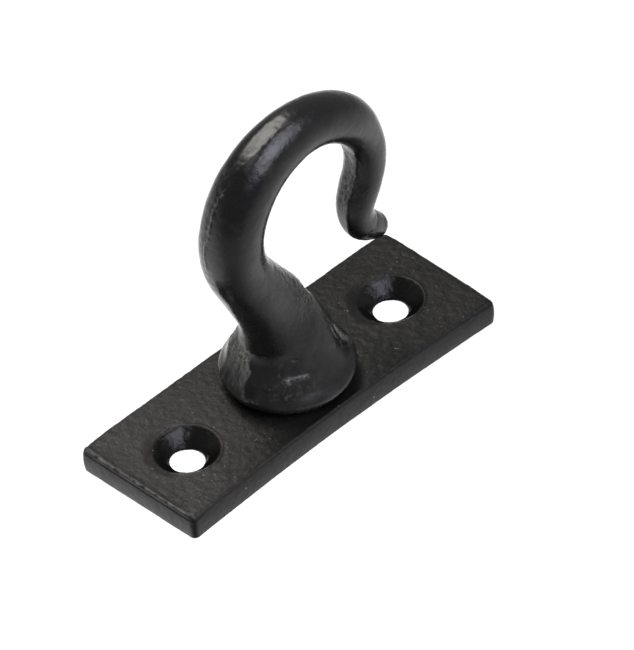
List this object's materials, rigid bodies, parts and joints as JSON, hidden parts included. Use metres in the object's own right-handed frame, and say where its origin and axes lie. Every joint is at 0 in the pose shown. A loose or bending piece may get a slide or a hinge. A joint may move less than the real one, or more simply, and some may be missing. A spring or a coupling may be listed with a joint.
{
  "type": "hook sash lift",
  "caption": "Hook-shaped sash lift: a round iron hook on a bell foot, riveted through an oblong plate with countersunk screw holes.",
  "frame": {"origin": "middle of the plate's outline, on its back face (the face that lies on the sash)", "axes": "+X along the plate, towards the side the hook opens to; +Y across the plate; +Z out of the sash"},
  "size_m": [0.051, 0.0189, 0.044],
  "materials": {
    "plate_iron": "black satin paint over a fine cast skin",
    "hook_iron": "smooth black satin paint, rubbed at the bend and at the mould line"
  },
  "bodies": {
    "root": {"backplate": "plate_iron", "hook": "hook_iron"}
  },
  "joints": []
}
